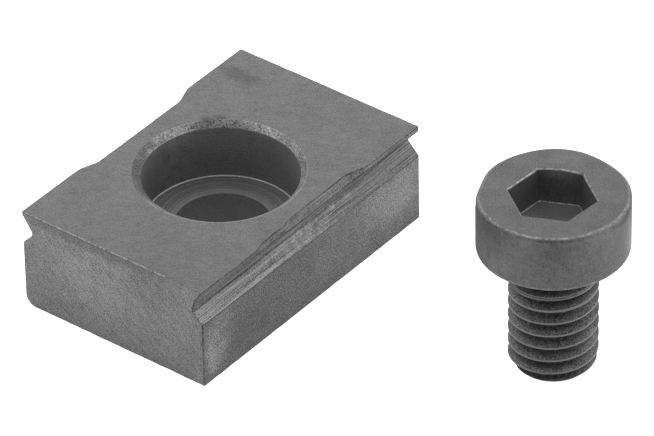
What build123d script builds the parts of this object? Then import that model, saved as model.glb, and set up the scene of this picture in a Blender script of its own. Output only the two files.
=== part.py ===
from build123d import *
from math import radians, tan
import os

# Sizes in millimetres. The origin is on the axis of the claw's screw hole, in the plane of its
# base. X runs across the claw, from lip to lip, Y along it and Z up.

# Clamping screw: low cylindrical head, hexagon socket, M6 thread
thread_diameter = 5.9           # over the crests, as rolled
screw_length = 9.2              # under the head
tip_chamfer = 0.55              # at 45 degrees, down to the thread's core
head_diameter = 10.0
head_height = 4.1
head_top_radius = 0.42          # soft edge left by the forging die
head_rim_radius = 0.27          # edge of the bearing face
neck_radius = 0.25              # from the bearing face into the shank
socket_width = 5.05             # across flats
socket_depth = 2.3
socket_floor_taper = 0.3        # sloping border round the socket's floor
socket_mouth_chamfer = 0.1
socket_turn = 25.0              # degrees from the X axis to the first corner

# Claw: a steel block with two clamping lips
claw_length = 23.0
claw_width = 15.0
claw_height = 7.5
locating_radius = 0.8           # the rounded edge of the base, on the -X side only
edge_break = 0.1

# Undercut groove below each lip
lip_land = 0.4                  # upright face left on the lip
groove_depth = 0.8
lip_underside_angle = 50.0      # degrees from level, falling inwards
groove_root_height = 0.43
groove_root_radius = 0.12
groove_flank_angle = 45.0       # degrees from level, falling outwards

# Relief that leaves each lip standing only at its two ends
relief_depth = 0.5
relief_length = 8.6
relief_slant = 20.0             # degrees from the lip's edge
relief_radius = 1.5

# Hole for the screw, with a flat-bottomed seat for its head
hole_clearance = 0.5            # on the diameter, over the thread
hole_break = 0.2
seat_clearance = 0.5            # on the diameter, over the head
seat_recess = 0.2               # the screw's head ends this far below the top face
seat_mouth_chamfer = 0.4
seat_floor_radius = 0.12

# The screw stands on its thread end beside the claw
screw_gap = 11.3                # from the claw's side to the head
screw_offset = 4.3              # along Y, from the hole's axis

hole_radius = (thread_diameter + hole_clearance) / 2
seat_radius = (head_diameter + seat_clearance) / 2
seat_depth = head_height + seat_recess

# Corners of the groove, as distances from the middle and from the base
lip_x = claw_width / 2
root_x = lip_x - groove_depth
land_z = claw_height - lip_land
root_top_z = land_z - groove_depth * tan(radians(lip_underside_angle))
root_bottom_z = root_top_z - groove_root_height
flank_z = root_bottom_z - groove_depth * tan(radians(groove_flank_angle))

# Ends of the relief, measured along the lip
relief_floor_y = relief_length / 2
relief_end_y = relief_floor_y + relief_depth / tan(radians(relief_slant))
relief_tail_y = relief_end_y + relief_radius


def rims(radius):
    """Round edges of the claw with this radius, from the lowest up."""
    circles = claw.edges().filter_by(GeomType.CIRCLE)
    return circles.group_by(lambda edge: abs(round(edge.radius - radius, 4)))[0].sort_by(Axis.Z)


with BuildPart() as claw:
    # The grooved bar that the claw is cut from
    with BuildSketch(Plane.XZ) as section:
        with BuildLine():
            Polyline(
                (0, 0),
                (lip_x, 0),
                (lip_x, flank_z),
                (root_x, root_bottom_z),
                (root_x, root_top_z),
                (lip_x, land_z),
                (lip_x, claw_height),
                (0, claw_height),
            )
            mirror(about=Plane.YZ)
        make_face()
        columns = section.vertices().group_by(Axis.X)
        fillet(columns[1] + columns[-2], groove_root_radius)
    extrude(amount=claw_length / 2, both=True)

    # One edge of the base is rounded, so that the claw fits its slot one way round
    base_edges = claw.faces().sort_by(Axis.Z)[0].edges().filter_by(Axis.Y)
    fillet(base_edges.sort_by(Axis.X)[0], locating_radius)

    # Both lips are milled back between their ends, down into the groove
    with BuildSketch(Plane.XY.offset(claw_height)) as relief:
        with BuildLine():
            Polyline(
                (lip_x, -relief_tail_y),
                (lip_x, -relief_end_y),
                (lip_x - relief_depth, -relief_floor_y),
                (lip_x - relief_depth, relief_floor_y),
                (lip_x, relief_end_y),
                (lip_x, relief_tail_y),
                (lip_x + relief_depth, relief_tail_y),
                (lip_x + relief_depth, -relief_tail_y),
                close=True,
            )
        make_face()
        rows = relief.vertices().group_by(Axis.Y)
        fillet(rows[1] + rows[2] + rows[3] + rows[4], relief_radius)
        mirror(about=Plane.YZ)
    extrude(amount=(root_top_z + root_bottom_z) / 2 - claw_height, mode=Mode.SUBTRACT)

    # Hole and head seat
    with Locations((0, 0, claw_height)):
        CounterBoreHole(hole_radius, seat_radius, seat_depth, claw_height)
    chamfer(rims(seat_radius)[-1], seat_mouth_chamfer)
    fillet(rims(seat_radius)[0], seat_floor_radius)
    chamfer(rims(hole_radius)[0], hole_break)

    # The sharp edges of the two sawn ends are broken
    for end in (0, -1):
        chamfer(claw.faces().sort_by(Axis.Y)[end].outer_wire().edges(), edge_break)

claw.part.label = "claw"


head_radius = head_diameter / 2
thread_radius = thread_diameter / 2
screw_height = screw_length + head_height
screw_x = lip_x + screw_gap + head_radius
screw_plane = Plane(origin=(screw_x, screw_offset, 0), x_dir=(1, 0, 0), z_dir=(0, -1, 0))


def corner_at(sketch, x, y):
    """The corner of a sketch nearest to a point."""
    return sketch.vertices().sort_by_distance((x, y, 0))[0]


def socket_outline(height, width):
    """Hexagon across the screw's axis, at a height above the ground."""
    with BuildSketch(Plane.XY.offset(height)) as outline:
        with Locations((screw_x, screw_offset)):
            RegularPolygon(width / 2, 6, major_radius=False, rotation=socket_turn)
    return outline.sketch


with BuildPart() as clamping_screw:
    # Head and shank: half a section, turned about the screw's axis
    with BuildSketch(screw_plane) as turning:
        with BuildLine():
            Polyline(
                (0, 0),
                (thread_radius - tip_chamfer, 0),
                (thread_radius, tip_chamfer),
                (thread_radius, screw_length),
                (head_radius, screw_length),
                (head_radius, screw_height),
                (0, screw_height),
                close=True,
            )
        make_face()
        fillet(corner_at(turning, thread_radius, screw_length), neck_radius)
        fillet(corner_at(turning, head_radius, screw_length), head_rim_radius)
        fillet(corner_at(turning, head_radius, screw_height), head_top_radius)
    revolve(axis=Axis(screw_plane.origin, (0, 0, 1)))

    # Hexagon socket: straight walls, then a sloping border round a flat floor
    socket_floor = screw_height - socket_depth
    add(socket_outline(screw_height, socket_width))
    extrude(amount=socket_floor_taper - socket_depth, mode=Mode.SUBTRACT)
    add(socket_outline(socket_floor + socket_floor_taper, socket_width))
    add(socket_outline(socket_floor, socket_width - 2 * socket_floor_taper))
    loft(mode=Mode.SUBTRACT)
    top_face = clamping_screw.faces().filter_by(Plane.XY).sort_by(Axis.Z)[-1]
    chamfer(top_face.inner_wires()[0].edges(), socket_mouth_chamfer)

clamping_screw.part.label = "clamping_screw"

os.makedirs("parts", exist_ok=True)
export_step(claw.part, "parts/claw.step")
export_step(clamping_screw.part, "parts/clamping_screw.step")
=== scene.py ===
from math import ceil, cos, degrees, pi, radians, sin, tan

import bmesh
import bpy
import numpy as np
from mathutils import Matrix, Vector, noise


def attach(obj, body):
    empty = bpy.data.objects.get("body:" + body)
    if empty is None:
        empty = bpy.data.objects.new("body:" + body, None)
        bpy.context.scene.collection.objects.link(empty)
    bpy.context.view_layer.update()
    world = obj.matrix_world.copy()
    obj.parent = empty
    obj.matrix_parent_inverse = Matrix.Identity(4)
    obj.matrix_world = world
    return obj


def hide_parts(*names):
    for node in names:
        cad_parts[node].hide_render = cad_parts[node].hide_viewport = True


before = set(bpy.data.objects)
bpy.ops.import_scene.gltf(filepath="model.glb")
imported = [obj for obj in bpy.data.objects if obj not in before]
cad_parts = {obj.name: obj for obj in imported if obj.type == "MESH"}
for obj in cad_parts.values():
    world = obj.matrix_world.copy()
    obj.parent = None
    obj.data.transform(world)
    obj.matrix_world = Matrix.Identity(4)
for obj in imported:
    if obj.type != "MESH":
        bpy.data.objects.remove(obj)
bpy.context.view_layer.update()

scene = bpy.context.scene
mm = 0.001

# Camera
# A long lens looks down on the two pieces from the front right. It leans a little to one side,
# as it does in the photograph.
camera_azimuth = radians(38.436)
camera_elevation = radians(36.353)
camera_roll = radians(-1.084)
camera_distance = 460.07 * mm
aim_right = 6.778 * mm
aim_up = 2.776 * mm

toward = Vector((
    sin(camera_azimuth) * cos(camera_elevation),
    -cos(camera_azimuth) * cos(camera_elevation),
    sin(camera_elevation),
))
level = Vector((cos(camera_azimuth), sin(camera_azimuth), 0))
upright = toward.cross(level)
image_right = cos(camera_roll) * level + sin(camera_roll) * upright
image_up = cos(camera_roll) * upright - sin(camera_roll) * level

lens = bpy.data.cameras.new("camera")
lens.lens = 382.8
lens.sensor_width = 36
camera = bpy.data.objects.new("camera", lens)
camera.matrix_world = Matrix((image_right, image_up, toward)).transposed().to_4x4()
camera.location = toward * camera_distance + image_right * aim_right + image_up * aim_up
scene.collection.objects.link(camera)
scene.camera = camera


# Claw
# One block of tool steel, cut from a bar with a groove along each side, then milled, bored and
# blackened in an oxide bath. The cutters' marks still show through the thin black skin.
# Its sizes are in millimetres.
claw_length = 23.0
claw_width = 15.0
claw_height = 7.5
half_width = claw_width / 2
half_length = claw_length / 2
locating_radius = 0.8  # the one rounded edge of the base, on the left
side_edge_radius = 0.08
lip_edge_radius = 0.06
edge_wander = 0.6  # the share by which these two radii vary along the claw

# The groove as drawn: its corners from the flank up, by how far out and how high they are
lip_land = 0.4
groove_depth = 0.8
lip_underside_angle = radians(50)
groove_root_height = 0.43
groove_root_radius = 0.12
groove_flank_angle = radians(45)
root_x = half_width - groove_depth
land_z = claw_height - lip_land
root_top_z = land_z - groove_depth * tan(lip_underside_angle)
root_bottom_z = root_top_z - groove_root_height
flank_z = root_bottom_z - groove_depth * tan(groove_flank_angle)
groove_as_drawn = [
    (half_width, flank_z),
    (root_x, root_bottom_z),
    (root_x, root_top_z),
    (half_width, land_z),
    (half_width, claw_height),
]

# The lips were dressed by hand, so their ends aren't all alike. Each side has three shapes, at
# these places along the claw.
lip_stations = [-5.0, 1.0, 11.5]
right_lip_near_end = [(7.5, 4.92), (6.7, 5.70), (6.72, 5.98), (6.97, 6.68), (7.5, 7.5)]
right_lip_far_end = [(7.5, 5.11), (6.62, 6.03), (7.0, 6.64), (7.5, 7.08), (7.5, 7.5)]
left_lip_near_end = [(7.5, 5.0), (6.74, 5.76), (6.74, 6.1), (7.5, 7.22), (7.5, 7.5)]
groove_shapes = {
    1: (right_lip_near_end, groove_as_drawn, right_lip_far_end),
    -1: (left_lip_near_end, groove_as_drawn, groove_as_drawn),
}
right_root_radius = 0.11
right_root_top_radius = 0.3
right_land_radius = 0.32
far_lip_edge_radius = 0.08
far_flank_edge_radius = 0.22
far_root_radius = 0.04

# The relief milled into each lip. On the right side its near end is shallow at first.
relief_depth = 0.5
relief_length = 8.6
relief_slant = radians(20)
relief_radius = 1.5
relief_roughness = 0.025
least_relief = 0.01
shallow_depth = 0.3
shallow_end = -1.6
shallow_run = 0.8
relief_end = relief_length / 2
relief_run = relief_depth / tan(relief_slant)

end_break = 0.09  # the broken edges of the two sawn ends
end_break_steps = 4
edge_line = 0.06  # a strip of each sawn end, just inside its broken edge
station_gap = 0.115
corner_steps = 4
base_corner_steps = 10


def directions_at(corners, index):
    """One corner of an outline, and the directions into it and out of it."""
    at = Vector(corners[index])
    into = (at - Vector(corners[index - 1])).normalized()
    out = (Vector(corners[(index + 1) % len(corners)]) - at).normalized()
    return at, into, out


def rounded(corners, radii, steps, closed=False):
    """Points of an outline with its corners rounded, steps + 1 of them to each corner."""
    points = []
    last = len(corners) - 1
    for index, corner in enumerate(corners):
        if not closed and index in (0, last):
            points.append(Vector(corner))
            continue
        at, into, out = directions_at(corners, index)
        turn = into.angle_signed(out)
        cut = radii[index] * tan(abs(turn) / 2)
        side = Vector((-into.y, into.x)) * (-1 if turn > 0 else 1)
        start = at - into * cut
        centre = start + side * radii[index]
        for step in range(steps[index] + 1):
            spoke = start - centre
            spoke.rotate(Matrix.Rotation(-turn * step / steps[index], 2))
            points.append(centre + spoke)
    return points


def inset_corners(corners, inset):
    """The same closed outline, anticlockwise, with every side moved inwards."""
    moved = []
    for index in range(len(corners)):
        at, into, out = directions_at(corners, index)
        inward = Vector((-into.y, into.x)) + Vector((-out.y, out.x))
        moved.append(at + inward * (inset / (1 + into.dot(out))))
    return moved


def wander(place, seed, step):
    """Smooth random value between about -1 and 1 along an edge, in steps of a given length."""
    return noise.noise(Vector((place / step, seed * 7.3, seed * 3.1)))


relief_line = rounded(
    [
        (-half_length, half_width),
        (-relief_end - relief_run, half_width),
        (-relief_end, half_width - relief_depth),
        (relief_end, half_width - relief_depth),
        (relief_end + relief_run, half_width),
        (half_length, half_width),
    ],
    [relief_radius] * 6,
    [corner_steps] * 6,
)


def lip_reach(y, side):
    """How far the lip stands out from the middle at this place along the claw."""
    reach = np.interp(y, [point.x for point in relief_line], [point.y for point in relief_line])
    shallow_reach = half_width - shallow_depth
    if side > 0 and reach < shallow_reach:
        deepening = [shallow_end - shallow_run, shallow_end]
        reach = max(reach, np.interp(y, deepening, [shallow_reach, reach]))
    milled = half_width - reach > least_relief
    rough = relief_roughness * max(0, wander(y, seed=side, step=0.35)) if milled else 0
    return float(reach) - rough


def groove_and_lip(y, side):
    """Corners of one side from the flank's lower edge up, with the relief milled into the lip."""
    corners = []
    for shapes in zip(*groove_shapes[side]):
        out = float(np.interp(y, lip_stations, [corner[0] for corner in shapes]))
        height = float(np.interp(y, lip_stations, [corner[1] for corner in shapes]))
        corners.append((out, height))
    reach = lip_reach(y, side)
    (root_out, root_height), (low_out, low_height) = corners[2:4]
    if reach < low_out:
        slope = (low_height - root_height) / (low_out - root_out)
        corners[3] = (reach, root_height + (reach - root_out) * slope)
    corners[4] = (reach, claw_height)
    return corners


def claw_section(y, inset):
    """Outline of the claw across its length, anticlockwise from the right base edge."""
    corners = []
    for side in (1, -1):
        half = [(half_width, 0)] + groove_and_lip(y, side)
        corners += [(side * x, z) for x, z in half[::side]]
    dressed = [
        1 + edge_wander * wander(y, seed=20 + corner, step=0.9) for corner in range(len(corners))
    ]
    far = min(1, max(0, (y - lip_stations[1]) / (lip_stations[2] - lip_stations[1])))
    radii = [
        side_edge_radius * dressed[0],
        side_edge_radius * dressed[1] * (1 - far) + far_flank_edge_radius * far,
        right_root_radius * (1 - far) + far_root_radius * far,
        right_root_top_radius,
        right_land_radius,
        lip_edge_radius * dressed[5] * (1 - far ** 3) + far_lip_edge_radius * far ** 3,
        lip_edge_radius * dressed[6],
        lip_edge_radius * dressed[7],
        groove_root_radius,
        groove_root_radius,
        side_edge_radius * dressed[10],
        locating_radius - inset,
    ]
    steps = [corner_steps] * 11 + [base_corner_steps]
    return rounded(inset_corners(corners, inset), radii, steps, closed=True)


# Faces of the claw, by the way they are made. The number is the place of the face's material.
TOP, NEAR_END, FAR_END, SIDES, FLANK, LIP, WALL, SEAT, HOLE, MOUTH, BASE = range(11)

# The section's twelve corners: the finish of each corner and of the flat face after it, how
# dark and how light each one is, and how dark it is on the broken edges of the two ends. The
# dark lines are painted shade in the grooves' roots and along the right base edge, and soot on
# the other edges. The one light corner, at the top of the right groove's root, is a painted
# highlight.
corner_finish = [SIDES, SIDES, LIP, LIP, LIP, LIP, LIP, LIP, LIP, LIP, SIDES, SIDES]
after_corner = [SIDES, FLANK, LIP, LIP, LIP, TOP, LIP, LIP, LIP, FLANK, SIDES, BASE]
corner_soot_and_shade = [0.7, 1, 1, 0, 1, 1, 0.3, 0.5, 1, 1, 0.8, 0]
corner_highlight = [0, 0, 0, 0.6, 0, 0, 0, 0, 0, 0, 0, 0]
end_corner_soot_and_shade = [0.25] + [0.9] * 10 + [0.25]

section_finish = []
section_soot_and_shade = []
section_highlight = []
end_soot_and_shade = []
for corner in range(12):
    steps = base_corner_steps if corner == 11 else corner_steps
    section_finish += [corner_finish[corner]] * steps + [after_corner[corner]]
    section_soot_and_shade += [0] + [corner_soot_and_shade[corner]] * (steps - 1) + [0]
    section_highlight += [0] + [corner_highlight[corner]] * (steps - 1) + [0]
    end_soot_and_shade += [end_corner_soot_and_shade[corner]] * (steps + 1)
top_gap = 6 * (corner_steps + 1) - 1
base_gap = len(section_finish) - 1

end_stations = [(half_length, end_break + edge_line)]
for step in range(end_break_steps + 1):
    lean = pi / 2 * step / end_break_steps
    end_stations.append((half_length - end_break * (1 - cos(lean)), end_break * (1 - sin(lean))))
gaps = int((claw_length - 2 * end_break) / station_gap)
ys = np.linspace(-half_length + end_break, half_length - end_break, gaps + 1)
stations = (
    [(-y, inset) for y, inset in end_stations]
    + [(float(y), 0.0) for y in ys[1:-1]]
    + end_stations[::-1]
)

mesh = bmesh.new()
# Two vertex layers: how light each point is, by wear and painted highlight, and how dark, by soot
# and painted shade.
wear_and_highlight_layer = mesh.verts.layers.float.new("wear_and_highlight")
soot_and_shade_layer = mesh.verts.layers.float.new("soot_and_shade")


def put_ring(points, wear_and_highlight, soot_and_shade):
    """Add a ring of points, given in millimetres, with how light and how dark each one is."""
    ring = []
    for point, bare_and_highlit, darkening in zip(points, wear_and_highlight, soot_and_shade):
        vertex = mesh.verts.new(Vector(point) * mm)
        vertex[wear_and_highlight_layer] = bare_and_highlit
        vertex[soot_and_shade_layer] = darkening
        ring.append(vertex)
    return ring


def put_face(corners, finish):
    """Add a smooth face with the finish of this number."""
    face = mesh.faces.new(corners)
    face.material_index = finish
    face.smooth = True


def put_tube(rings, finishes):
    """Join each ring to the next with faces, and give each row of faces its own finish."""
    for lower, upper, finish in zip(rings, rings[1:], finishes):
        for column in range(len(lower)):
            after = (column + 1) % len(lower)
            put_face((lower[column], lower[after], upper[after], upper[column]), finish)


# A dark line follows the middle of each end's broken edge, and each corner of the grooves and
# lips: soot on the edges, and painted shade in the grooves' roots and along the base edges.
soot_and_shade_from = 0.2 * end_break
soot_and_shade_to = 0.9 * end_break
rings = []
for y, inset in stations:
    outline = claw_section(y, inset)
    wear_and_highlight = soot_and_shade = [0] * len(outline)
    if inset == 0:
        wear_and_highlight = section_highlight
        soot_and_shade = section_soot_and_shade
    elif soot_and_shade_from < inset < soot_and_shade_to:
        soot_and_shade = end_soot_and_shade
    rings.append(put_ring([(point.x, y, point.y) for point in outline], wear_and_highlight, soot_and_shade))

# The top and the base stay open between the ends' broken edges, because the bore is cut in them.
for first, second, start, end in zip(rings, rings[1:], stations, stations[1:]):
    at_the_end = start[1] > 0 or end[1] > 0
    for index, finish in enumerate(section_finish):
        after = (index + 1) % len(section_finish)
        if index in (top_gap, base_gap) and not at_the_end:
            continue
        if start[0] == end[0]:
            finish = NEAR_END if start[0] < 0 else FAR_END
        put_face((first[index], first[after], second[after], second[index]), finish)

# The strips along the top and base edges of both ends are cut into short pieces, so that the
# broken edges can wander as filed ones do. The front edge of the top is rubbed bare for most of
# its length, with soot left just below it, and the rest of it is nearly sharp.
edge_pieces = 160
corner_margin = 0.15
long_wave = 0.45
short_wave = 0.25
bare_edge_end = 4.45
bare_edge_size = 1.15
bare_edge_limit = 1.5
sharp_edge_size = 0.3
end_rings = rings[:end_break_steps + 2] + rings[-end_break_steps - 2:]
long_edges = [
    mesh.edges.get((ring[index], ring[(index + 1) % len(ring)]))
    for ring in end_rings
    for index in (top_gap, base_gap)
]
bmesh.ops.subdivide_edges(mesh, edges=long_edges, cuts=edge_pieces - 1, use_grid_fill=True)
just_past = 1.01 * end_break
flush = 0.01 * end_break
for vertex in mesh.verts:
    x, y, z = vertex.co / mm
    if half_length - abs(y) >= just_past or abs(x) >= half_width - corner_margin:
        continue
    for edge_z in (0, claw_height):
        if abs(z - edge_z) >= just_past:
            continue
        size = 1 + long_wave * wander(x, seed=3 + edge_z + (y > 0), step=0.8)
        size += short_wave * wander(x, seed=9, step=0.18)
        if edge_z > 0 and y < 0:
            rubbed = x < bare_edge_end
            on_end = half_length + y < flush
            on_top = claw_height - z < flush
            vertex[soot_and_shade_layer] = 1 if rubbed and on_end else 0
            vertex[wear_and_highlight_layer] = 1 if rubbed and not on_end and not on_top else 0
            size = min(bare_edge_size * size, bare_edge_limit) if rubbed else sharp_edge_size * size
        corner = Vector((x, half_length if y > 0 else -half_length, edge_z))
        vertex.co = (corner + (vertex.co / mm - corner) * size) * mm

# The bore: a hole through the block, a seat for the screw's head, and a chamfered mouth. The
# seat and the mouth lie a little off the middle of the block, the mouth deburred by hand.
hole_radius = 3.2
hole_break = 0.2
hole_middle = 1.7
hole_edge_radius = 0.05
hole_shift = (0.02, -0.07)
seat_radius = 5.26
seat_floor_height = 3.2
seat_floor_radius = 0.09
seat_shift = (0.04, -0.16)
wall_middle = 5.2
mouth_depth = 0.4
mouth_reach = 0.47
mouth_z = claw_height - mouth_depth
mouth_line = 0.03  # half the width of the light line at the mouth's inner edge
mouth_edge_radius = 0.05
mouth_rim = seat_radius + mouth_reach + mouth_edge_radius
mouth_shift = (0.04, -0.28)
mouth_roughness = 0.02
bore_columns = 216


def one_corner(before, corner, after, radius, steps):
    """Points of a single rounded corner between two straight lines."""
    return rounded([before, corner, after], [radius] * 3, [steps] * 3)[1:-1]


# The bore's profile from the base up: reach and height of each ring, its shift off the middle,
# how light it is painted, by rubbing at the mouth and as a painted highlight at the seat's floor,
# and the finish of the faces above it.
bore_profile = [
    ((hole_radius + hole_break, 0), hole_shift, 0, HOLE),
    ((hole_radius, hole_break), hole_shift, 0, HOLE),
    ((hole_radius, hole_middle), hole_shift, 0, HOLE),
]
for step, point in enumerate(one_corner(
    (hole_radius, seat_floor_height - 1),
    (hole_radius, seat_floor_height),
    (hole_radius + 1, seat_floor_height),
    hole_edge_radius, 3,
)):
    bore_profile.append((point, hole_shift, 0, HOLE if step < 3 else SEAT))
bore_profile.append(((hole_radius + 1, seat_floor_height), seat_shift, 0, SEAT))
# A thin ring at the foot of the seat's wall is painted light: a painted highlight on its fillet.
for step, point in enumerate(one_corner(
    (seat_radius - 1, seat_floor_height),
    (seat_radius, seat_floor_height),
    (seat_radius, seat_floor_height + 1),
    seat_floor_radius, 5,
)):
    wear_and_highlight = 1.0 if 0 < step < 5 else 0.0
    bore_profile.append((point, seat_shift, wear_and_highlight, WALL if step > 3 else SEAT))
bore_profile += [
    ((seat_radius, wall_middle), seat_shift, 0, WALL),
    ((seat_radius, mouth_z - mouth_line), seat_shift, 0, WALL),
    ((seat_radius + 0.01, mouth_z), seat_shift, 0.9, MOUTH),
    ((seat_radius + 0.04, mouth_z + mouth_line), seat_shift, 0, MOUTH),
]
for step, point in enumerate(one_corner(
    (seat_radius, mouth_z),
    (seat_radius + mouth_reach, claw_height),
    (seat_radius + mouth_reach + 1, claw_height),
    mouth_edge_radius, 4,
)):
    wear_and_highlight = 1.0 if 0 < step < 4 else 0.0
    bore_profile.append((point, mouth_shift, wear_and_highlight, MOUTH))
bore_profile.append(((mouth_rim, claw_height), mouth_shift, 0, TOP))

# The mouth's outer edge is sooty on two stretches, given in degrees, and rubbed bare elsewhere.
sooty_stretches = [(114, 143), (180, 250)]
bore_rings = []
for (reach, height), (shift_x, shift_y), wear_and_highlight, finish in bore_profile:
    ring = []
    lightening = []
    darkening = []
    in_mouth = min(1, max(0, (height - mouth_z + 0.1) / mouth_depth))
    outer_edge = height > mouth_z + 0.5 * mouth_depth
    for column in range(bore_columns):
        angle = 2 * pi * column / bore_columns
        stand = reach + mouth_roughness * in_mouth * wander(column, seed=40 + height, step=2.5)
        ring.append((stand * cos(angle) + shift_x, stand * sin(angle) + shift_y, height))
        darkened = outer_edge and any(start < degrees(angle) < end for start, end in sooty_stretches)
        lightening.append(0 if darkened else wear_and_highlight)
        darkening.append(wear_and_highlight if darkened else 0)
    bore_rings.append(put_ring(ring, lightening, darkening))
put_tube(bore_rings, [finish for *_, finish in bore_profile])

# The four flat faces close the block: top and base with the hole in them, and both sawn ends.
flat_within = 0.0001 * mm
for axis, place, finish in (
    (2, claw_height, TOP),
    (2, 0, BASE),
    (1, -half_length, NEAR_END),
    (1, half_length, FAR_END),
):
    rim = [
        edge for edge in mesh.edges
        if edge.is_boundary and all(
            abs(end.co[axis] - place * mm) < flat_within for end in edge.verts
        )
    ]
    filled = bmesh.ops.triangle_fill(mesh, edges=rim, use_beauty=True, use_dissolve=False)
    for face in filled["geom"]:
        if isinstance(face, bmesh.types.BMFace):
            face.material_index = finish
            face.smooth = False
bmesh.ops.recalc_face_normals(mesh, faces=mesh.faces)


def add_node(tree, kind, inputs=None, **settings):
    """Add a node; each input is a value, or the socket that feeds it."""
    node = tree.nodes.new(kind)
    for name, value in settings.items():
        setattr(node, name, value)
    for name, value in (inputs or {}).items():
        if isinstance(value, bpy.types.NodeSocket):
            tree.links.new(value, node.inputs[name])
        else:
            node.inputs[name].default_value = value
    return node


def calc(tree, operation, *values):
    """One step of arithmetic in a node tree."""
    return add_node(tree, "ShaderNodeMath", dict(enumerate(values)), operation=operation).outputs[0]


def vector_calc(tree, operation, *values, output="Vector"):
    """One step of arithmetic with vectors in a node tree."""
    node = add_node(tree, "ShaderNodeVectorMath", dict(enumerate(values)), operation=operation)
    return node.outputs[output]


def ramp(tree, value, low, high, at_low=0.0, at_high=1.0, curve="LINEAR"):
    """Value that goes from at_low to at_high while another one goes from low to high."""
    return add_node(tree, "ShaderNodeMapRange", {
        "Value": value,
        "From Min": low,
        "From Max": high,
        "To Min": at_low,
        "To Max": at_high,
    }, interpolation_type=curve).outputs[0]


def both_ways(tree, texture):
    """A noise texture's value, stretched from its narrow range to between about -1 and 1."""
    return calc(tree, "MULTIPLY_ADD", texture.outputs[0], 4.0, -2.0)


def new_group(name, vectors, numbers, outputs):
    """An empty shader node group with its sockets, and its two end nodes."""
    group = bpy.data.node_groups.new(name, "ShaderNodeTree")
    for label in vectors:
        group.interface.new_socket(label, in_out="INPUT", socket_type="NodeSocketVector")
    for label, value in numbers.items():
        socket = group.interface.new_socket(label, in_out="INPUT", socket_type="NodeSocketFloat")
        socket.default_value = value
    for label in outputs:
        group.interface.new_socket(label, in_out="OUTPUT", socket_type="NodeSocketFloat")
    given = group.nodes.new("NodeGroupInput").outputs
    result = group.nodes.new("NodeGroupOutput").inputs
    return group, given, result


# Black skin: cloudy patches, smaller mottling and a fine grain, all between about -1 and 1
skin, given, result = new_group(
    "black_skin", ["Vector"],
    {"Patch Size": 3 * mm, "Mottle Size": 0.6 * mm, "Grain Size": 0.1 * mm},
    ["Patches", "Mottle", "Grain"],
)
for label, detail, output in (
    ("Patch Size", 3, "Patches"),
    ("Mottle Size", 3, "Mottle"),
    ("Grain Size", 1, "Grain"),
):
    cloud = add_node(skin, "ShaderNodeTexNoise", {
        "Vector": given["Vector"],
        "Scale": calc(skin, "DIVIDE", 1.0, given[label]),
        "Detail": detail,
        "Roughness": 0.6,
    })
    skin.links.new(both_ways(skin, cloud), result[output])

# Straight marks of a saw, a mill or a grinding wheel: long thin streaks that lie one way
marks, given, result = new_group(
    "straight_marks", ["Vector", "Turn"], {"Length": 4 * mm, "Width": 0.08 * mm}, ["Marks"]
)
stretch = add_node(marks, "ShaderNodeCombineXYZ", {
    0: given["Length"],
    1: given["Width"],
    2: given["Width"],
})
laid = add_node(marks, "ShaderNodeMapping", {
    "Vector": given["Vector"],
    "Rotation": given["Turn"],
    "Scale": stretch.outputs[0],
}, vector_type="TEXTURE")
streaks = add_node(marks, "ShaderNodeTexNoise", {
    "Vector": laid.outputs[0],
    "Scale": 1.0,
    "Detail": 3,
    "Roughness": 0.6,
})
marks.links.new(both_ways(marks, streaks), result["Marks"])

# Rings that a boring tool leaves: around the wall, and across the seat's flat floor
ring_marks, given, result = new_group("ring_marks", ["Vector"], {"Feed": 0.12 * mm}, ["Marks"])
parts = add_node(ring_marks, "ShaderNodeSeparateXYZ", {0: given["Vector"]}).outputs
flat = add_node(ring_marks, "ShaderNodeCombineXYZ", {0: parts[0], 1: parts[1]}).outputs[0]
reach = vector_calc(ring_marks, "LENGTH", flat, output="Value")
along = calc(ring_marks, "ADD", reach, calc(ring_marks, "MULTIPLY", parts[2], 1.3))
turns = add_node(ring_marks, "ShaderNodeTexNoise", {
    "W": calc(ring_marks, "DIVIDE", along, given["Feed"]),
    "Scale": 1.0,
}, noise_dimensions="1D")
ring_marks.links.new(both_ways(ring_marks, turns), result["Marks"])

# Edges: where one rubs, the black skin is gone in broken stretches and bare steel shows, and
# other light stretches are painted highlights. In a sharp corner the oxide bath leaves a broken
# dark line of soot, and the same dark line is painted shade in the grooves' roots, under the
# screw's head and on the thread below each crest.
edges, given, result = new_group(
    "edge_wear_and_shading", ["Vector"], {"Wear And Highlight": 0.0, "Soot And Shade": 0.0, "Reach": 0.5}, ["Bare And Highlight", "Soot And Shade Mask"]
)
breaks = add_node(edges, "ShaderNodeTexNoise", {
    "Vector": given["Vector"],
    "Scale": 1 / (0.25 * mm),
    "Detail": 4,
    "Roughness": 0.7,
})
unbroken = calc(edges, "ADD", breaks.outputs[0], given["Reach"])
for label, low, high, output in (("Wear And Highlight", 0.9, 1.1, "Bare And Highlight"), ("Soot And Shade", 0.85, 1.15, "Soot And Shade Mask")):
    kept = ramp(edges, unbroken, low, high)
    edges.links.new(calc(edges, "MULTIPLY", kept, given[label]), result[output])

# A soft spot of a given size with a ragged edge, 1 in its middle and 0 outside. Such spots
# stand for stains, and also for painted light and painted shade.
stain_and_shading_spot, given, result = new_group("stain_and_shading_spot", ["Vector", "Centre", "Size"], {}, ["Mask"])
offset = vector_calc(stain_and_shading_spot, "SUBTRACT", given["Vector"], given["Centre"])
scaled = vector_calc(stain_and_shading_spot, "DIVIDE", offset, given["Size"])
apart = vector_calc(stain_and_shading_spot, "LENGTH", scaled, output="Value")
ragged = add_node(stain_and_shading_spot, "ShaderNodeTexNoise", {
    "Vector": given["Vector"],
    "Scale": 1 / (0.7 * mm),
    "Detail": 4,
    "Roughness": 0.65,
}).outputs[0]
shore = calc(stain_and_shading_spot, "MULTIPLY_ADD", ragged, 1.6, calc(stain_and_shading_spot, "ADD", apart, -0.8))
mask = ramp(stain_and_shading_spot, shore, 0.3, 1.0, at_low=1.0, at_high=0.0, curve="SMOOTHSTEP")
stain_and_shading_spot.links.new(mask, result["Mask"])


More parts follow.
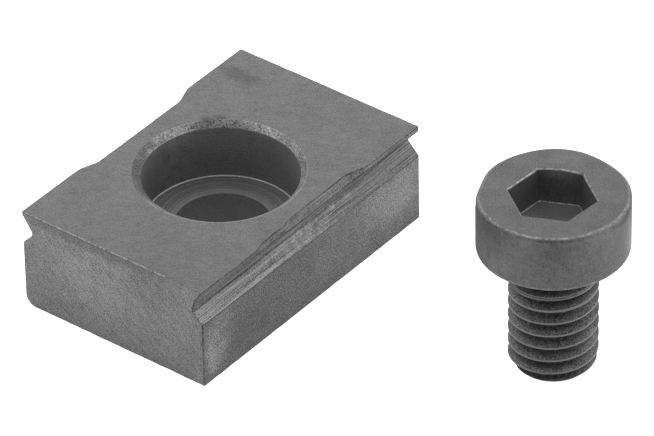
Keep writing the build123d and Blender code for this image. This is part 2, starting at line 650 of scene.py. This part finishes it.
def blackened_steel(name, tone, patches=0.08, mottle=0.08, grain=0.3, cut=0.05, cut_bump=0.3,
                    turn=(0, 0, 0), cut_length=3.0, cut_width=0.12, feed=None, bare_and_highlit=0.32,
                    reach=0.5, patch_size=3.0, stains_and_shading_spots=()):
    """Material of blackened steel with the marks of one way of cutting it.

    tone is the skin's grey, and patches, mottle, grain and cut are the shares by which each
    effect lightens or darkens it. The marks are straight ones, laid by turn, unless feed gives
    the step of a boring tool's rings. The grey given for rubbed steel also paints highlights,
    and reach says how unbroken the light and dark edges are. Spots stand for stains and for
    painted light and shade, and each has its middle, its size and its share. Sizes and places
    are in millimetres, and turn is in degrees.
    """
    material = bpy.data.materials.new(name)
    material.use_nodes = True
    tree = material.node_tree
    shader = tree.nodes["Principled BSDF"]
    shader.inputs["Metallic"].default_value = 0.4
    place = add_node(tree, "ShaderNodeTexCoord").outputs["Object"]

    skin_node = add_node(tree, "ShaderNodeGroup", {
        "Vector": place,
        "Patch Size": patch_size * mm,
    }, node_tree=skin)
    if feed:
        marks_node = add_node(tree, "ShaderNodeGroup", {
            "Vector": place,
            "Feed": feed * mm,
        }, node_tree=ring_marks)
    else:
        marks_node = add_node(tree, "ShaderNodeGroup", {
            "Vector": place,
            "Turn": [radians(angle) for angle in turn],
            "Length": cut_length * mm,
            "Width": cut_width * mm,
        }, node_tree=marks)
    cut_height = marks_node.outputs["Marks"]

    darkest = 0.25
    share = calc(tree, "MULTIPLY_ADD", skin_node.outputs["Patches"], patches, 1.0)
    share = calc(tree, "MULTIPLY_ADD", skin_node.outputs["Mottle"], mottle, share)
    share = calc(tree, "MULTIPLY_ADD", skin_node.outputs["Grain"], grain, share)
    share = calc(tree, "MULTIPLY_ADD", cut_height, cut, share)
    share = calc(tree, "MAXIMUM", share, darkest)
    for centre, size, strength in stains_and_shading_spots:
        spot = add_node(tree, "ShaderNodeGroup", {
            "Vector": place,
            "Centre": Vector(centre) * mm,
            "Size": Vector(size) * mm,
        }, node_tree=stain_and_shading_spot)
        stained_and_shaded = calc(tree, "MULTIPLY_ADD", spot.outputs["Mask"], strength, 1.0)
        share = calc(tree, "MULTIPLY", share, stained_and_shaded)

    edge_node = add_node(tree, "ShaderNodeGroup", {
        "Vector": place,
        "Wear And Highlight": add_node(tree, "ShaderNodeAttribute", attribute_name="wear_and_highlight").outputs["Fac"],
        "Soot And Shade": add_node(tree, "ShaderNodeAttribute", attribute_name="soot_and_shade").outputs["Fac"],
        "Reach": reach,
    }, node_tree=edges)
    # Dark marks, soot and painted shade, darken the skin, and light ones, rubbed steel and painted
    # highlights, lighten it towards the grey of bare steel.
    darkening_share = -0.8
    bare_and_highlit_mask = edge_node.outputs["Bare And Highlight"]
    undarkened = calc(tree, "MULTIPLY_ADD", edge_node.outputs["Soot And Shade Mask"], darkening_share, 1.0)
    grey = calc(tree, "MULTIPLY", calc(tree, "MULTIPLY", share, undarkened), tone)
    lighter = calc(tree, "SUBTRACT", bare_and_highlit, grey)
    grey = calc(tree, "ADD", grey, calc(tree, "MULTIPLY", bare_and_highlit_mask, lighter))
    colour = add_node(tree, "ShaderNodeCombineColor", {0: grey, 1: grey, 2: grey})
    tree.links.new(colour.outputs[0], shader.inputs["Base Color"])

    roughness = 0.5
    roughness_mottle = 0.05
    roughness_bare = -0.12
    rough = calc(tree, "MULTIPLY_ADD", skin_node.outputs["Mottle"], roughness_mottle, roughness)
    rough = calc(tree, "MULTIPLY_ADD", bare_and_highlit_mask, roughness_bare, rough)
    tree.links.new(rough, shader.inputs["Roughness"])

    height = calc(tree, "MULTIPLY", cut_height, cut_bump)
    height = calc(tree, "MULTIPLY_ADD", skin_node.outputs["Grain"], grain, height)
    bump = add_node(tree, "ShaderNodeBump", {"Height": height, "Distance": 0.006 * mm})
    tree.links.new(bump.outputs[0], shader.inputs["Normal"])
    return material


along_y = (0, 0, 90)
along_z = (0, 90, 0)
claw_finishes = [
    blackened_steel("milled_top", 0.124, mottle=0.16, grain=0.45, cut=0.2, turn=(0, 0, 35),
                    cut_length=0.5, stains_and_shading_spots=[
        ((-5.7, 8.95, 7.5), (2.3, 0.8, 1), -0.34),
        ((-4.1, 3.65, 7.5), (0.8, 0.6, 1), -0.45),
        ((-3.3, 4.3, 7.5), (1.1, 0.6, 1), -0.5),
        ((3.5, -9.5, 7.5), (6, 4, 1), -0.08),
    ]),
    blackened_steel("sawn_end", 0.235, mottle=0.16, grain=0.66, cut=0.32, cut_bump=0.6,
                    turn=(0, 40, 0), cut_length=1.0, cut_width=0.08, bare_and_highlit=0.6, reach=0.6,
                    stains_and_shading_spots=[
        ((-1.5, -11.5, 7.2), (9, 1, 0.6), -0.26),
        ((-1.6, -11.5, 4.2), (4.5, 1, 3.2), 0.18),
        ((3.7, -11.5, 6.0), (3.2, 1, 1.6), -0.1),
        ((-6.4, -11.5, 1.2), (3.5, 1, 2.2), -0.04),
    ]),
    # The far end has the near end's sawn finish in a darker grey: painted shade against the bright
    # light behind the claw.
    blackened_steel("sawn_far_end_shaded", 0.15, mottle=0.16, grain=0.75, cut=0.25, cut_bump=0.6,
                    turn=(0, -40, 0), cut_length=0.8, cut_width=0.14),
    blackened_steel("rolled_side", 0.158, patches=0.16, mottle=0.18, grain=0.9, cut=0.3,
                    cut_bump=0.5, turn=along_y, cut_length=1.5, cut_width=0.1, reach=0.6,
                    stains_and_shading_spots=[
        ((7.5, -6.7, 2.2), (1, 2.6, 1.8), -0.14),
        ((7.5, -10.3, 2.4), (1, 1.8, 3.0), 0.45),
        ((7.5, 8.5, 3.4), (1, 5.0, 2.6), 0.33),
        ((7.5, -9.4, 4.1), (1, 1.3, 0.9), 0.2),
        ((7.5, -10.7, 1.9), (1, 0.8, 2.0), 0.3),
    ]),
    # The far part of the flank is painted darker: painted shade where the softbox lights it.
    blackened_steel("ground_flank", 0.24, mottle=0.04, grain=0.5, cut=0.85, cut_bump=0.9,
                    turn=along_y, cut_length=9.0, cut_width=0.08, stains_and_shading_spots=[
        ((7.1, 9.0, 5.4), (3, 13.5, 3), -0.52),
    ]),
    blackened_steel("relieved_lip", 0.16, mottle=0.3, grain=0.9, cut=0.9, cut_bump=1.0,
                    turn=along_y, cut_length=4.0, cut_width=0.07, bare_and_highlit=0.5, reach=0.64,
                    stains_and_shading_spots=[
        ((7.1, -5.5, 6.5), (2, 8, 2.5), 0.16),
    ]),
    # The left of the bore's wall is painted darker: painted shade where the softbox lights it.
    blackened_steel("bored_wall", 0.18, grain=0.25, cut=0.2, feed=0.12, stains_and_shading_spots=[
        ((-4.6, -2.6, 5.5), (5.0, 5.6, 8), -0.28),
    ]),
    blackened_steel("turned_seat", 0.17, grain=0.35, cut=0.3, cut_bump=0.8, feed=0.2,
                    bare_and_highlit=0.44, reach=0.65),
    blackened_steel("drilled_hole", 0.18, grain=0.2, feed=0.2),
    # The mouth is painted lighter towards the back, as a painted reflection, and darker on its left
    # and right, as painted shade.
    blackened_steel("deburred_mouth", 0.19, mottle=0.45, grain=0.85, cut=0.2, cut_bump=1.0,
                    feed=0.1, stains_and_shading_spots=[
        ((-4.2, -3.5, 7.3), (4.6, 4.6, 3), -0.6),
        ((-5.1, 1.9, 7.3), (1.2, 1.6, 2), 0.2),
        ((-0.2, 5.5, 7.3), (1.7, 1.2, 2), 0.65),
        ((4.3, 3.8, 7.3), (1.5, 1.5, 2), -0.2),
        ((-4.3, 3.3, 7.4), (1.0, 1.0, 2), -0.3),
    ]),
    blackened_steel("milled_base", 0.124, mottle=0.12, grain=0.4, cut=0.15, turn=along_y),
]


def made_piece(name, finishes, sharp_angle):
    """The mesh as a finished piece, with its materials, its sharp edges and even shading."""
    made = bpy.data.meshes.new(name)
    mesh.to_mesh(made)
    mesh.free()
    for material in finishes:
        made.materials.append(material)
    made.set_sharp_from_angle(angle=sharp_angle)
    piece = bpy.data.objects.new(name, made)
    scene.collection.objects.link(piece)
    weigh = piece.modifiers.new("weighted_normals", "WEIGHTED_NORMAL")
    weigh.keep_sharp = True
    return piece


claw_piece = made_piece("claw_block", claw_finishes, radians(28))
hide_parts("claw")
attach(claw_piece, "root")


# Clamping screw
# A steel screw with a low head, forged cold with its hexagon socket, then rolled with an M6
# thread and blackened. The thread runs out below the head.
screw_x = 23.8
screw_y = 4.3
screw_length = 9.2
head_radius = 5.0
head_height = 4.1
head_top_radius = 0.28
head_rim_radius = 0.27
neck_radius = 0.25
neck_height = 8.7
shank_radius = 2.8
screw_height = screw_length + head_height
screw_columns = 144
neck_steps = 5
rim_steps = 5
top_edge_steps = 8
side_rows = 8
flat_rows = 5

socket_width = 5.05
socket_depth = 2.3
socket_floor_width = 4.5
socket_taper_height = 1.5
socket_mouth_chamfer = 0.1
socket_turn = radians(25)
socket_corner = 0.99  # how much of a sharp corner's reach is left
socket_shift = (0.01, -0.17)  # the punch struck a little off the head's axis
socket_burst = 0.32  # the mouth bulges over the back wall
socket_burst_angle = radians(115)
socket_burst_spread = pi / 5
burst_corner = 0.08  # how much of the bulge a corner takes up

# The head came out of its die a little out of round, and its skin a little uneven. Each place is
# an angle, how far it reaches to each side, how far it stands out, and from what height up.
out_of_round = [
    (120, 35, 0.09, screw_length),
    (81, 30, -0.08, screw_length + 2.5),
    (203, 24, -0.16, screw_height - 0.9),
    (245, 55, 0.08, screw_length),
    (300, 45, 0.06, screw_length),
]
forged_roughness = 0.012
forged_bumps = 1.7  # bumps in the width of the head's radius

# The head's edges are lighter where they face the front, and less so towards both sides: rubbing
# and a painted highlight on the top edge, and painted light on the rim below the side.
front_angle = camera_azimuth - pi / 2
rubbed_and_lit_aside = 0.25
rubbed_and_lit_fall = 1.2

SIDE, CROWN, SOCKET, THREAD = range(4)
mesh = bmesh.new()
wear_and_highlight_layer = mesh.verts.layers.float.new("wear_and_highlight")
soot_and_shade_layer = mesh.verts.layers.float.new("soot_and_shade")


def hexagon_reach(angle, width, burst=0.0):
    """Distance from the socket's axis to its wall, with the corners a little rounded."""
    sector = (angle - socket_turn) % (pi / 3) - pi / 6
    corner = width / 2 / cos(pi / 6) * (socket_corner + burst_corner * burst)
    reach = min(width / 2 / cos(sector), corner)
    aside = (angle - socket_burst_angle + pi) % (2 * pi) - pi
    if abs(aside) < socket_burst_spread:
        reach += burst * cos(aside / socket_burst_spread * pi / 2)
    return reach


def forged_error(angle, height):
    """How far the head's side stands out at an angle in degrees and at a height."""
    error = 0
    for place, spread, stand, lowest in out_of_round:
        aside = abs((angle - place + 180) % 360 - 180)
        if aside < spread and height >= lowest:
            error += stand * cos(aside / spread * pi / 2) ** 2
    return error


def screw_ring(height, reach_at, wear_and_highlight=0.0, soot_and_shade=0.0, shift=0.0, at_front=False):
    """Ring of points round the screw's axis, or round the socket's where shift is 1.

    reach_at is the reach all the way round, or a function that gives it at an angle. Where
    at_front is true, the ring is lightest at its front, as rubbed steel and as painted highlight.
    """
    points = []
    lightening = []
    for column in range(screw_columns):
        angle = 2 * pi * column / screw_columns
        reach = reach_at(angle) if callable(reach_at) else reach_at
        if reach > head_radius - 1:
            spot = Vector((cos(angle), sin(angle), height / head_radius)) * forged_bumps
            reach -= forged_roughness * (0.5 + 0.5 * noise.noise(spot))
            reach += forged_error(degrees(angle), height)
        points.append((
            screw_x + socket_shift[0] * shift + reach * cos(angle),
            screw_y + socket_shift[1] * shift + reach * sin(angle),
            height,
        ))
        facing = rubbed_and_lit_aside + rubbed_and_lit_fall * cos(angle - front_angle) if at_front else 1
        lightening.append(wear_and_highlight * min(1, max(0, facing)))
    return put_ring(points, lightening, [soot_and_shade] * screw_columns)


# The head's profile from the neck up to where its flat top begins
flat_reach = head_radius - 0.8
head_profile = rounded(
    [
        (shank_radius, neck_height),
        (shank_radius, screw_length),
        (head_radius, screw_length),
        (head_radius, screw_height),
        (flat_reach, screw_height),
    ],
    [0, neck_radius, head_rim_radius, head_top_radius, 0],
    [0, neck_steps, rim_steps, top_edge_steps, 0],
)
rim_start = neck_steps + 2
top_edge_start = rim_start + rim_steps + 1
head_rings = []
# The neck and the underside of the head are darker: painted shade under the head.
for point in head_profile[:rim_start]:
    head_rings.append(screw_ring(point.y, point.x, soot_and_shade=0.8))
# The rim below the head's side is lighter where it faces the front: painted light from the table
# below.
for step, point in enumerate(head_profile[rim_start:top_edge_start]):
    wear_and_highlight = 1.0 if 2 < step else 0.0
    head_rings.append(screw_ring(point.y, point.x, wear_and_highlight, at_front=True))
side_start = head_profile[top_edge_start - 1].y + 0.05
side_end = head_profile[top_edge_start].y
for row in range(side_rows):
    height = side_start + (side_end - side_start) * row / side_rows
    head_rings.append(screw_ring(height, head_radius))
# On the top edge, the upper steps are lighter where they face the front, as rubbing and a painted
# highlight, and the lower steps are darker all round: painted shade below the light line.
for step, point in enumerate(head_profile[top_edge_start:-1]):
    wear_and_highlight = 1.0 if 4 < step < 8 else 0.0
    soot_and_shade = 0.6 if 0 < step < 4 else 0.0
    head_rings.append(screw_ring(point.y, point.x, wear_and_highlight, soot_and_shade, at_front=True))
crown_row = len(head_rings) - 1

# The flat top goes over from the head's round edge to the socket's hexagonal mouth.
mouth_width = socket_width + 2 * socket_mouth_chamfer
for row in range(flat_rows):
    blend = row / flat_rows
    head_rings.append(screw_ring(screw_height, lambda angle: (
        flat_reach * (1 - blend) + hexagon_reach(angle, mouth_width, socket_burst) * blend
    ), shift=blend))
socket_row = len(head_rings) + 1  # the crown's finish goes just over the mouth's edge

# The socket from its mouth down: height, width, how much its mouth bulges, and how worn it is
socket_floor = screw_height - socket_depth
chamfer_low = screw_height - socket_mouth_chamfer
for height, width, burst, wear_and_highlight in (
    (screw_height, mouth_width, socket_burst, 0.0),
    (screw_height - 0.02, mouth_width - 0.02, socket_burst, 0.9),
    (screw_height - 0.05, mouth_width - 0.06, 0.9 * socket_burst, 0.9),
    (chamfer_low, socket_width, 0.8 * socket_burst, 0.0),
    (chamfer_low - 0.25, socket_width, 0.4 * socket_burst, 0.0),
    (chamfer_low - 0.6, socket_width, 0.0, 0.0),
    (socket_floor + socket_taper_height - 0.7, socket_width - 0.1, 0.0, 0.0),
    (socket_floor + 0.07, socket_floor_width + 0.04, 0.0, 0.0),
    (socket_floor + 0.05, socket_floor_width + 0.02, 0.0, 0.9),
    (socket_floor + 0.015, socket_floor_width - 0.05, 0.0, 0.9),
    (socket_floor, socket_floor_width - 0.1, 0.0, 0.0),
    (socket_floor, 2.0, 0.0, 0.0),
):
    head_rings.append(screw_ring(
        height, lambda angle: hexagon_reach(angle, width, burst), wear_and_highlight, shift=1.0
    ))
socket_rows = len(head_rings) - 1 - socket_row
put_tube(head_rings, (
    [SIDE] * crown_row + [CROWN] * (socket_row - crown_row) + [SOCKET] * socket_rows
))
floor_middle = put_ring(
    [(screw_x + socket_shift[0], screw_y + socket_shift[1], socket_floor)], [0], [0]
)[0]
for column in range(screw_columns):
    after = (column + 1) % screw_columns
    put_face((head_rings[-1][column], head_rings[-1][after], floor_middle), SOCKET)

# The thread: a tube whose rows follow the helix. Each row has its place across the pitch, on the
# crest, on a flank or in the root, and is drawn in to its depth. The tube is closed at the
# chamfered tip, and its thread runs out into the neck below the head. Where the dies stopped,
# below the head, the crest is wider and isn't closed, with painted shade along its seam.
thread_pitch = 1.0
thread_flank_angle = radians(60)
crest_height_at_front = 0.08
root_rounding = 0.25  # as a share of the depth
row_crowding = 1.5  # above 1, the rows stand closer together near the crest
seam_widening = 1.5
seam_shade = 0.7
turns_below = 2

thread = bpy.data.node_groups.new("rolled_thread", "GeometryNodeTree")
thread_sizes = {
    "Pitch": thread_pitch * mm,
    "Radius": 2.95 * mm,
    "Depth": 0.55 * mm,
    "Crest": 0.11 * mm,
    "Length": neck_height * mm,
    "Tip Radius": 2.4 * mm,
    "Neck Radius": shank_radius * mm,
    "Run Out": 0.9 * mm,
    "Seam Depth": 0.05 * mm,
    "Seam Start": 5.9 * mm,
    "Seam Length": 0.6 * mm,
    "Start": (crest_height_at_front - thread_pitch * front_angle / (2 * pi)) * mm,
}
thread_counts = {
    "Turns": ceil(neck_height / thread_pitch) + turns_below + 1,
    "Turns Below": turns_below,
    "Rows": 16,
    "Columns": screw_columns,
}
for kind, labels in (
    ("Float", thread_sizes),
    ("Int", thread_counts),
    ("Vector", ["Axis"]),
    ("Material", ["Material"]),
):
    for label in labels:
        thread.interface.new_socket(label, in_out="INPUT", socket_type="NodeSocket" + kind)
thread.interface.new_socket("Geometry", in_out="OUTPUT", socket_type="NodeSocketGeometry")
given = thread.nodes.new("NodeGroupInput").outputs
result = thread.nodes.new("NodeGroupOutput").inputs

tube = add_node(thread, "GeometryNodeMeshGrid", {
    "Size X": 1.0,
    "Size Y": 1.0,
    "Vertices X": calc(thread, "MULTIPLY_ADD", given["Turns"], given["Rows"], 1),
    "Vertices Y": calc(thread, "ADD", given["Columns"], 1),
})
position = thread.nodes.new("GeometryNodeInputPosition").outputs[0]
spot = add_node(thread, "ShaderNodeSeparateXYZ", {0: position})
row = calc(thread, "ADD", spot.outputs[0], 0.5)
around = calc(thread, "ADD", spot.outputs[1], 0.5)

# The nearest crest, and how many rows from its middle the row is
turns_up = calc(thread, "MULTIPLY", row, given["Turns"])
nearest = calc(thread, "ROUND", turns_up)
aside = calc(thread, "SUBTRACT", turns_up, nearest)
rows_aside = calc(thread, "MULTIPLY", calc(thread, "ABSOLUTE", aside), given["Rows"])

# How far the seam has opened here, and the width of the crest
turns_here = calc(thread, "SUBTRACT", calc(thread, "ADD", turns_up, around), given["Turns Below"])
height_here = calc(thread, "MULTIPLY_ADD", turns_here, given["Pitch"], given["Start"])
seam_end = calc(thread, "ADD", given["Seam Start"], given["Seam Length"])
seam_share = ramp(thread, height_here, given["Seam Start"], seam_end)
crest_growth = calc(thread, "MULTIPLY_ADD", seam_share, seam_widening, 1.0)
half_crest = calc(thread, "MULTIPLY", calc(thread, "MULTIPLY", given["Crest"], crest_growth), 0.5)

# The first row on each side is the crest's edge, and the others go down the flank.
on_crest = calc(thread, "MULTIPLY", calc(thread, "MINIMUM", rows_aside, 1.0), half_crest)
flank_width = calc(thread, "SUBTRACT", calc(thread, "MULTIPLY", given["Pitch"], 0.5), half_crest)
half_rows = calc(thread, "MULTIPLY", given["Rows"], 0.5)
flank_share = calc(thread, "POWER", ramp(thread, rows_aside, 1.0, half_rows), row_crowding)
down_flank = calc(thread, "MULTIPLY", flank_share, flank_width)
off_crest = calc(thread, "ADD", on_crest, down_flank)
signed = calc(thread, "MULTIPLY", off_crest, calc(thread, "SIGN", aside))
whole_turns = calc(thread, "SUBTRACT", calc(thread, "ADD", nearest, around), given["Turns Below"])
crest_height = calc(thread, "ADD", signed, given["Start"])
height = calc(thread, "MULTIPLY_ADD", whole_turns, given["Pitch"], crest_height)
height = calc(thread, "MINIMUM", calc(thread, "MAXIMUM", height, 0.0), given["Length"])

# The flanks fall steeply into a rounded root, and the seam lies along the crest's middle.
fall = calc(thread, "MULTIPLY", down_flank, tan(thread_flank_angle))
rounding = calc(thread, "MULTIPLY", given["Depth"], root_rounding)
sunk = calc(thread, "SMOOTH_MIN", fall, given["Depth"], rounding)
in_seam = calc(thread, "MULTIPLY", calc(thread, "LESS_THAN", rows_aside, 0.5), seam_share)
sunk = calc(thread, "MULTIPLY_ADD", in_seam, given["Seam Depth"], sunk)
radius = calc(thread, "SUBTRACT", given["Radius"], sunk)

# The tip's chamfer, the run-out into the neck, and the closed end
chamfered = calc(thread, "ADD", given["Tip Radius"], height)
radius = calc(thread, "MINIMUM", radius, chamfered)
left = calc(thread, "SUBTRACT", given["Length"], height)
fade = ramp(thread, left, 0.0, given["Run Out"], at_low=1.0, at_high=0.0)
rise = calc(thread, "SUBTRACT", given["Neck Radius"], radius)
radius = calc(thread, "MULTIPLY_ADD", rise, fade, radius)
past_first_row = calc(thread, "GREATER_THAN", row, 0.0001)
radius = calc(thread, "MULTIPLY", radius, past_first_row)

angle = calc(thread, "MULTIPLY", around, 2 * pi)
place = add_node(thread, "ShaderNodeCombineXYZ", {
    0: calc(thread, "MULTIPLY", calc(thread, "COSINE", angle), radius),
    1: calc(thread, "MULTIPLY", calc(thread, "SINE", angle), radius),
    2: height,
})
moved = vector_calc(thread, "ADD", place.outputs[0], given["Axis"])

# The crest is worn, apart from its seam. Painted shade lies in the seam, on the flank below each
# crest and in the run-out under the head.
on_edge = calc(thread, "LESS_THAN", rows_aside, 1.1)
crest_worn = calc(thread, "MULTIPLY", on_edge, calc(thread, "SUBTRACT", 1.0, in_seam))
off_edge = calc(thread, "GREATER_THAN", rows_aside, 1.1)
above_crest = calc(thread, "FRACT", calc(thread, "DIVIDE", signed, given["Pitch"]))
under_crest = ramp(thread, above_crest, 0.1, 0.4, curve="SMOOTHSTEP")
in_shade = calc(thread, "MULTIPLY", under_crest, off_edge)
darkened = calc(thread, "MAXIMUM", in_shade, calc(thread, "MULTIPLY", in_seam, seam_shade))
darkened = calc(thread, "MAXIMUM", darkened, fade)
marked = tube.outputs["Mesh"]
for name, value in (("wear_and_highlight", crest_worn), ("soot_and_shade", darkened)):
    marked = add_node(thread, "GeometryNodeStoreNamedAttribute", {
        "Geometry": marked,
        "Name": name,
        "Value": value,
    }, data_type="FLOAT", domain="POINT").outputs[0]
shaped = add_node(thread, "GeometryNodeSetPosition", {"Geometry": marked, "Position": moved})
merged = add_node(thread, "GeometryNodeMergeByDistance", {
    "Geometry": shaped.outputs[0],
    "Distance": 0.001 * mm,
})
real = add_node(thread, "GeometryNodeRealizeInstances", {"Geometry": merged.outputs[0]})
painted = add_node(thread, "GeometryNodeSetMaterial", {
    "Geometry": real.outputs[0],
    "Material": given["Material"],
})
thread.links.new(painted.outputs[0], result[0])

screw_finishes = [
    # The head's side is painted darker below its top edge and on its left, as painted shade,
    # lighter at its right edge, as a painted highlight, and lighter low at its front, as painted
    # light.
    blackened_steel("forged_side", 0.13, patches=0.2, mottle=0.18, grain=0.32, cut=0.08,
                    turn=along_z, cut_length=0.8, cut_width=0.15, bare_and_highlit=0.28, reach=0.46,
                    stains_and_shading_spots=[
        ((22.6, -0.6, 12.6), (2.0, 3, 1.0), -0.25),
        ((27.0, 0.5, 12.3), (2.4, 2, 1.4), -0.28),
        ((28.6, 5.6, 12.85), (1.2, 1.9, 0.42), -0.5),
        ((27.9, 7.2, 10.8), (2.0, 2.2, 2.6), 0.45),
        ((22.6, -0.6, 10.2), (2.2, 1.5, 1.2), 0.2),
        ((19.5, 2.2, 11.3), (1.4, 1.2, 2.0), -0.22),
    ]),
    blackened_steel("struck_crown", 0.095, patches=0.2, mottle=0.14, grain=0.45, cut=0.1,
                    turn=(0, 0, 35), cut_length=0.5, bare_and_highlit=0.34, reach=0.56, patch_size=1.6,
                    stains_and_shading_spots=[
        ((22.2, 7.9, 13.3), (2.2, 1.2, 1), 0.18),
        ((21.0, 2.3, 13.3), (1.5, 2.0, 1), 0.06),
        ((23.2, 0.8, 13.3), (1.6, 1.2, 1), -0.1),
    ]),
    blackened_steel("punched_socket", 0.09, cut=0.1, turn=along_z, bare_and_highlit=0.33, reach=0.55),
    blackened_steel("rolled_flanks", 0.125, mottle=0.3, grain=1.0, cut=0.0, bare_and_highlit=0.21,
                    reach=0.66, stains_and_shading_spots=[
        ((26.2, 6.2, 4.5), (1.6, 1.6, 6), -0.5),
    ]),
]

blank = bpy.data.objects.new("screw_thread", bpy.data.meshes.new("screw_thread"))
scene.collection.objects.link(blank)
roll = blank.modifiers.new("rolled_thread", "NODES")
roll.node_group = thread
thread_values = thread_sizes | thread_counts | {
    "Axis": (screw_x * mm, screw_y * mm, 0.0),
    "Material": screw_finishes[THREAD],
}
for socket in thread.interface.items_tree:
    if socket.in_out == "INPUT":
        roll[socket.identifier] = thread_values[socket.name]
bpy.context.view_layer.update()
settled = bpy.context.evaluated_depsgraph_get()
rolled = bpy.data.meshes.new_from_object(blank.evaluated_get(settled), depsgraph=settled)
bpy.data.objects.remove(blank)

# The thread and the head become one closed mesh at the neck.
head_faces = len(mesh.faces)
mesh.from_mesh(rolled)
bpy.data.meshes.remove(rolled)
mesh.faces.ensure_lookup_table()
for face in mesh.faces[head_faces:]:
    face.material_index = THREAD
    face.smooth = True
bmesh.ops.remove_doubles(mesh, verts=mesh.verts, dist=0.001 * mm)
bmesh.ops.recalc_face_normals(mesh, faces=mesh.faces)
screw_piece = made_piece("cap_screw", screw_finishes, radians(33))
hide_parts("clamping_screw")
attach(screw_piece, "root")


# Floor and light
# Both pieces stand on a white table in a bright tent that is open, and so darker, on the
# camera's side. One softbox stands behind them on the right. The camera sees the table and the
# tent as pure white, as in the photograph.
scene.view_settings.view_transform = "Standard"
tent = bpy.data.worlds.new("tent")
scene.world = tent
tent.use_nodes = True
tree = tent.node_tree
direction = add_node(tree, "ShaderNodeTexCoord").outputs["Generated"]
open_side = Vector((sin(camera_azimuth), -cos(camera_azimuth), 0.15)).normalized()
facing = vector_calc(tree, "DOT_PRODUCT", direction, open_side, output="Value")
glow = ramp(tree, facing, 0.2, 0.8, at_low=1.5, at_high=0.3)
seen = add_node(tree, "ShaderNodeLightPath").outputs["Is Camera Ray"]
tent_light = add_node(tree, "ShaderNodeMix", {0: seen, 2: glow, 3: 1.0})
tree.links.new(tent_light.outputs[0], tree.nodes["Background"].inputs["Strength"])
tree.nodes["Background"].inputs["Color"].default_value = (1, 1, 1, 1)

table = bmesh.new()
bmesh.ops.create_grid(table, x_segments=1, y_segments=1, size=0.6)
floor_mesh = bpy.data.meshes.new("floor")
table.to_mesh(floor_mesh)
table.free()
floor = bpy.data.objects.new("floor", floor_mesh)
floor.location.z = -0.01 * mm
scene.collection.objects.link(floor)
white = bpy.data.materials.new("white_table")
white.use_nodes = True
tree = white.node_tree
shader = tree.nodes["Principled BSDF"]
shader.inputs["Base Color"].default_value = (0.8, 0.8, 0.8, 1)
shader.inputs["Roughness"].default_value = 0.9
shader.inputs["Emission Color"].default_value = (1, 1, 1, 1)
seen = add_node(tree, "ShaderNodeLightPath").outputs["Is Camera Ray"]
tree.links.new(seen, shader.inputs["Emission Strength"])
floor_mesh.materials.append(white)

softbox_place = Vector((0.45, 0.3, 0.07))
softbox_aim = Vector((0.011, 0.0, 0.006))
light = bpy.data.lights.new("softbox_right", "AREA")
light.shape = "SQUARE"
light.size = 0.3
light.energy = 1.0
softbox = bpy.data.objects.new("softbox_right", light)
softbox.location = softbox_place
softbox.rotation_euler = (softbox_aim - softbox_place).to_track_quat("-Z", "Y").to_euler()
scene.collection.objects.link(softbox)
